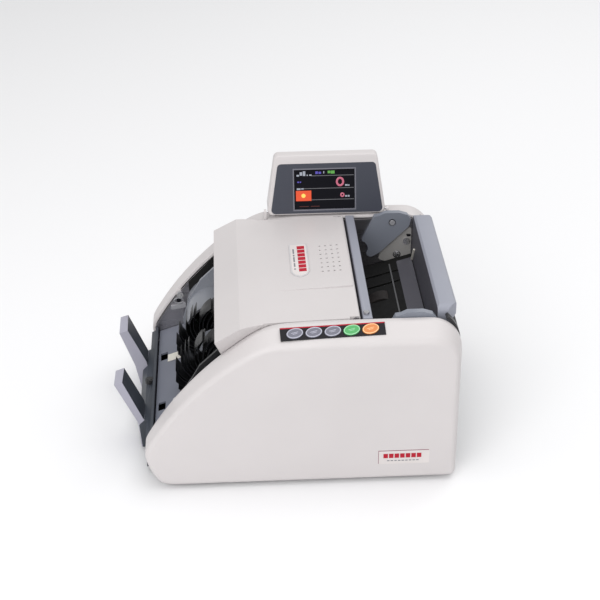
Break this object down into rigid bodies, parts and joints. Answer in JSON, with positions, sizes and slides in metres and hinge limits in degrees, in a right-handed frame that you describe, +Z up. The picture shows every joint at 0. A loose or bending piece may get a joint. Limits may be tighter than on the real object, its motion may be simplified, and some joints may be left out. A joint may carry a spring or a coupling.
{
  "type": "banknote counter",
  "caption": "Table-top banknote counter with rear hopper, hinged top cover, fold-down display, control keys and a front stacker with impeller wheels and fork arms.",
  "frame": {"origin": "on the table, under the middle of the machine", "axes": "+X to the side with the control keys, -Y to the stacker at the front, +Y to the hopper at the back, +Z up"},
  "size_m": [0.245, 0.3026, 0.212],
  "materials": {
    "white_shell": "fine satin moulded ABS",
    "guide_grey": "satin moulded ABS",
    "hopper_grey": "satin moulded ABS",
    "fork_grey": "satin moulded ABS",
    "floor_grey": "satin moulded ABS",
    "dark_metal": "satin dark coating",
    "frame_steel": "zinc plated sheet",
    "shaft_steel": "ground bar",
    "screw_steel": "nickel plated",
    "black_rubber": "moulded rubber",
    "belt_rubber": "toothed belt",
    "roller_rubber": "ground rubber",
    "cream_plastic": "smooth wear pad",
    "bezel_grey": "fine satin",
    "screen_black": "lit liquid crystal panel",
    "strip_black": "printed film",
    "key_grey": "moulded key",
    "key_green": "moulded key",
    "key_orange": "moulded key",
    "black_plastic": "moulded nylon",
    "circuit_green": "lacquered board",
    "badge_silver": "silver film badge"
  },
  "bodies": {
    "chassis": {"base_plate": "frame_steel", "left_side_frame": "frame_steel", "right_side_frame": "frame_steel", "cross_rods": "shaft_steel", "case_screws": "screw_steel", "left_side_shell": "white_shell", "right_side_shell": "white_shell", "rubber_feet": "black_rubber", "stacker_fork": "fork_grey", "stacker_floor": "floor_grey", "note_stop_pad": "cream_plastic", "stack_guide": "guide_grey", "lower_guide_plate": "dark_metal", "sensor_bar": "black_plastic", "hopper_floor": "dark_metal", "hopper_front_bar": "hopper_grey", "hopper_cheeks": "guide_grey", "hopper_back_box": "hopper_grey", "rear_cover": "black_plastic", "power_inlet": "black_plastic", "switch_housing": "black_plastic", "display_jack": "black_plastic", "main_motor": "dark_metal", "impeller_motor": "dark_metal", "main_board": "circuit_green", "transformer": "dark_metal", "main_belt": "belt_rubber", "roller_belts": "belt_rubber", "impeller_belt": "belt_rubber", "shaft_bearings": "screw_steel", "retard_block": "dark_metal", "retard_rollers": "black_rubber", "control_strip": "strip_black", "key_board": "circuit_green", "hinge_pins": "shaft_steel"},
    "cover": {"top_cover": "white_shell", "cover_badge": "badge_silver", "speaker": "black_plastic"},
    "display": {"display_housing": "white_shell", "display_bezel": "bezel_grey", "display_screen": "screen_black"},
    "menu_key": {"menu_button": "key_grey"},
    "mode_key": {"mode_button": "key_grey"},
    "batch_key": {"batch_button": "key_grey"},
    "start_key": {"start_button": "key_green"},
    "reset_key": {"reset_button": "key_orange"},
    "impeller_rotor": {"impeller_shaft": "shaft_steel", "left_impeller": "black_rubber", "right_impeller": "black_rubber"},
    "impeller_motor_rotor": {"fan_motor_pulley": "shaft_steel"},
    "drive_rotor": {"drive_shaft": "shaft_steel", "drive_tyres": "roller_rubber"},
    "feed_rotor": {"feed_shaft": "shaft_steel", "feed_tyres": "roller_rubber"},
    "pick_rotor": {"pick_shaft": "shaft_steel", "pick_tyres": "roller_rubber"},
    "main_motor_rotor": {"main_motor_pulley": "shaft_steel"},
    "pinch_idlers": {"pinch_rollers": "black_plastic"},
    "rocker": {"power_rocker": "black_plastic"},
    "gap_adjuster": {"gap_screw": "screw_steel"}
  },
  "joints": [
    {"name": "cover_hinge", "type": "hinge", "parent": "chassis", "child": "cover", "pos_m": [0, 0.061, 0.1515], "axis": [-1, 0, 0], "range_deg": [0, 60]},
    {"name": "display_fold", "type": "hinge", "parent": "chassis", "child": "display", "pos_m": [-0.1012, 0.04885, 0.1592], "axis": [0, -1, 0], "range_deg": [-88, 0]},
    {"name": "menu_press", "type": "slide", "parent": "chassis", "child": "menu_key", "axis": [-0.4755, 0, -0.8797], "range_m": [0, 0.001], "stiffness_N_per_m": 250},
    {"name": "mode_press", "type": "slide", "parent": "chassis", "child": "mode_key", "axis": [-0.4755, 0, -0.8797], "range_m": [0, 0.001], "stiffness_N_per_m": 250},
    {"name": "batch_press", "type": "slide", "parent": "chassis", "child": "batch_key", "axis": [-0.4755, 0, -0.8797], "range_m": [0, 0.001], "stiffness_N_per_m": 250},
    {"name": "start_press", "type": "slide", "parent": "chassis", "child": "start_key", "axis": [-0.4755, 0, -0.8797], "range_m": [0, 0.001], "stiffness_N_per_m": 250},
    {"name": "reset_press", "type": "slide", "parent": "chassis", "child": "reset_key", "axis": [-0.4755, 0, -0.8797], "range_m": [0, 0.001], "stiffness_N_per_m": 250},
    {"name": "impeller_spin", "type": "hinge", "parent": "chassis", "child": "impeller_rotor", "pos_m": [0, -0.05875, 0.064], "axis": [1, 0, 0], "continuous": true},
    {"name": "impeller_motor_spin", "type": "hinge", "parent": "chassis", "child": "impeller_motor_rotor", "pos_m": [0, -0.008, 0.036], "axis": [1, 0, 0], "continuous": true},
    {"name": "drive_spin", "type": "hinge", "parent": "chassis", "child": "drive_rotor", "pos_m": [0, -0.006, 0.078], "axis": [1, 0, 0], "continuous": true},
    {"name": "feed_spin", "type": "hinge", "parent": "chassis", "child": "feed_rotor", "pos_m": [0, 0.062, 0.084], "axis": [1, 0, 0], "continuous": true},
    {"name": "pick_spin", "type": "hinge", "parent": "chassis", "child": "pick_rotor", "pos_m": [0, 0.098, 0.086], "axis": [1, 0, 0], "continuous": true},
    {"name": "main_motor_spin", "type": "hinge", "parent": "chassis", "child": "main_motor_rotor", "pos_m": [0, 0.06, 0.04], "axis": [1, 0, 0], "continuous": true},
    {"name": "pinch_spin", "type": "hinge", "parent": "chassis", "child": "pinch_idlers", "pos_m": [0, -0.006, 0.0974], "axis": [1, 0, 0], "continuous": true},
    {"name": "rocker_tilt", "type": "hinge", "parent": "chassis", "child": "rocker", "pos_m": [-0.033, 0.1445, 0.032], "axis": [1, 0, 0], "range_deg": [0, 12]},
    {"name": "gap_screw_turn", "type": "hinge", "parent": "chassis", "child": "gap_adjuster", "pos_m": [0.0914, 0.0698, 0.145], "axis": [0, 0, 1], "range_deg": [-360, 360]}
  ],
  "couplings": [
    {"joint": "impeller_motor_spin", "follows": "impeller_spin", "ratio": 1.25},
    {"joint": "feed_spin", "follows": "drive_spin", "ratio": 0.5},
    {"joint": "pick_spin", "follows": "drive_spin", "ratio": 0.43243},
    {"joint": "main_motor_spin", "follows": "drive_spin", "ratio": 2},
    {"joint": "pinch_spin", "follows": "drive_spin", "ratio": -1.7143}
  ]
}
